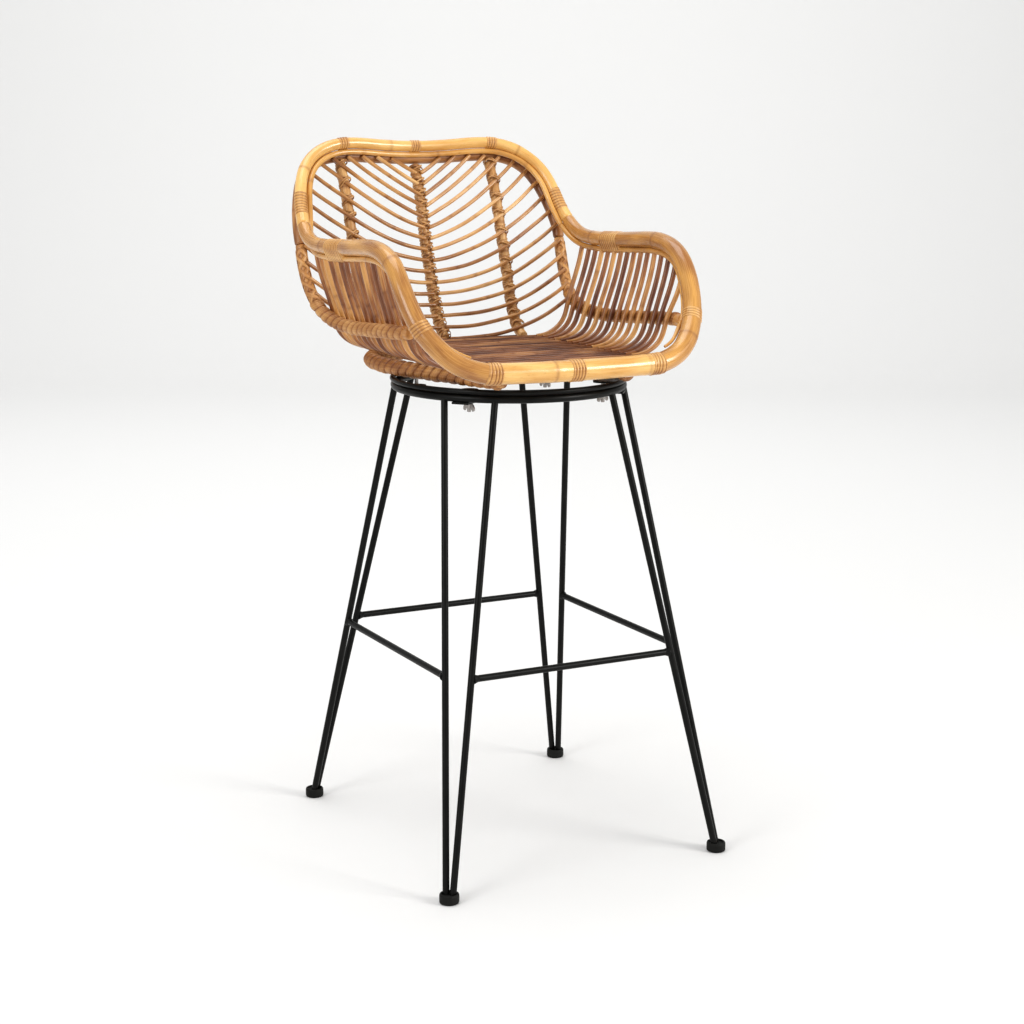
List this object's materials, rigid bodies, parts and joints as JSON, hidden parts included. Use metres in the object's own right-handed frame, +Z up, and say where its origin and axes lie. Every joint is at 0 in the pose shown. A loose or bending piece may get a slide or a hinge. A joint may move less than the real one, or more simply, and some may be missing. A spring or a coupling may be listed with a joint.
{
  "type": "bar stool",
  "caption": "Bar stool with a woven rattan bucket seat with arms, on splayed black steel rod legs with footrests and rubber feet.",
  "frame": {"origin": "on the floor, at the centre of the stool's bounding box seen from above; the centre of the four feet is 40.75 mm in front of it", "axes": "+Z up, -Y the way the sitter faces, +X to the right of someone who stands in front of the stool and faces it"},
  "size_m": [0.5034, 0.6226, 1.0708],
  "materials": {
    "rattan_pole": "varnished honey-coloured rattan pole",
    "rattan_peel": "varnished rattan peel",
    "rattan_frame": "satin, browner rattan",
    "rattan_cane": "satin rattan cane",
    "black_steel": "satin black powder coat",
    "foot_rubber": "matt black",
    "zinc": "dull zinc plate"
  },
  "bodies": {
    "stool": {"arm_binding_left": "rattan_peel", "arm_binding_right": "rattan_peel", "back_canes_left": "rattan_cane", "back_canes_right": "rattan_cane", "back_frame_pole": "rattan_frame", "base_rail": "rattan_frame", "base_ring": "black_steel", "base_tab_back_left": "black_steel", "base_tab_back_right": "black_steel", "base_tab_front_left": "black_steel", "base_tab_front_right": "black_steel", "floor_bar_centre": "rattan_frame", "floor_bar_left": "rattan_frame", "floor_bar_right": "rattan_frame", "foot_back_left": "foot_rubber", "foot_back_right": "foot_rubber", "foot_front_left": "foot_rubber", "foot_front_right": "foot_rubber", "footrest_back": "black_steel", "footrest_front": "black_steel", "footrest_left": "black_steel", "footrest_right": "black_steel", "inner_strip_arm_left": "rattan_pole", "inner_strip_arm_right": "rattan_pole", "inner_strip_back": "rattan_pole", "leg_rod_back_left_end": "black_steel", "leg_rod_back_left_side": "black_steel", "leg_rod_back_right_end": "black_steel", "leg_rod_back_right_side": "black_steel", "leg_rod_front_left_end": "black_steel", "leg_rod_front_left_side": "black_steel", "leg_rod_front_right_end": "black_steel", "leg_rod_front_right_side": "black_steel", "rib_centre": "rattan_frame", "rib_left": "rattan_frame", "rib_right": "rattan_frame", "rim_arm_pole_left": "rattan_pole", "rim_arm_pole_right": "rattan_pole", "rim_back_pole": "rattan_pole", "rim_bands": "rattan_peel", "rim_front_pole": "rattan_pole", "seat_canes": "rattan_cane", "seat_ring": "black_steel", "seat_studs": "zinc", "seat_tabs": "black_steel", "shoulder_wraps": "rattan_peel", "side_canes_left": "rattan_cane", "side_canes_right": "rattan_cane", "side_rail_left": "rattan_frame", "side_rail_right": "rattan_frame"},
    "washer_front_left": {"washer_front_left": "zinc"},
    "wing_nut_front_left": {"wing_nut_front_left": "zinc"},
    "washer_front_right": {"washer_front_right": "zinc"},
    "wing_nut_front_right": {"wing_nut_front_right": "zinc"},
    "washer_back_left": {"washer_back_left": "zinc"},
    "wing_nut_back_left": {"wing_nut_back_left": "zinc"},
    "washer_back_right": {"washer_back_right": "zinc"},
    "wing_nut_back_right": {"wing_nut_back_right": "zinc"}
  },
  "joints": [
    {"name": "washer_drop_front_left", "type": "slide", "parent": "stool", "child": "washer_front_left", "axis": [0, 0, -1], "range_m": [0, 0.006]},
    {"name": "wing_nut_turn_front_left", "type": "hinge", "parent": "washer_front_left", "child": "wing_nut_front_left", "pos_m": [-0.11269, -0.132, 0.6898], "axis": [0, 0, -1], "range_deg": [0, 2160]},
    {"name": "washer_drop_front_right", "type": "slide", "parent": "stool", "child": "washer_front_right", "axis": [0, 0, -1], "range_m": [0, 0.006]},
    {"name": "wing_nut_turn_front_right", "type": "hinge", "parent": "washer_front_right", "child": "wing_nut_front_right", "pos_m": [0.11269, -0.132, 0.6898], "axis": [0, 0, -1], "range_deg": [0, 2160]},
    {"name": "washer_drop_back_left", "type": "slide", "parent": "stool", "child": "washer_back_left", "axis": [0, 0, -1], "range_m": [0, 0.006]},
    {"name": "wing_nut_turn_back_left", "type": "hinge", "parent": "washer_back_left", "child": "wing_nut_back_left", "pos_m": [-0.11269, 0.0505, 0.6898], "axis": [0, 0, -1], "range_deg": [0, 2160]},
    {"name": "washer_drop_back_right", "type": "slide", "parent": "stool", "child": "washer_back_right", "axis": [0, 0, -1], "range_m": [0, 0.006]},
    {"name": "wing_nut_turn_back_right", "type": "hinge", "parent": "washer_back_right", "child": "wing_nut_back_right", "pos_m": [0.11269, 0.0505, 0.6898], "axis": [0, 0, -1], "range_deg": [0, 2160]}
  ],
  "couplings": [
    {"joint": "washer_drop_front_left", "follows": "wing_nut_turn_front_left", "m_per_rad": 0.00015915},
    {"joint": "washer_drop_front_right", "follows": "wing_nut_turn_front_right", "m_per_rad": 0.00015915},
    {"joint": "washer_drop_back_left", "follows": "wing_nut_turn_back_left", "m_per_rad": 0.00015915},
    {"joint": "washer_drop_back_right", "follows": "wing_nut_turn_back_right", "m_per_rad": 0.00015915}
  ]
}
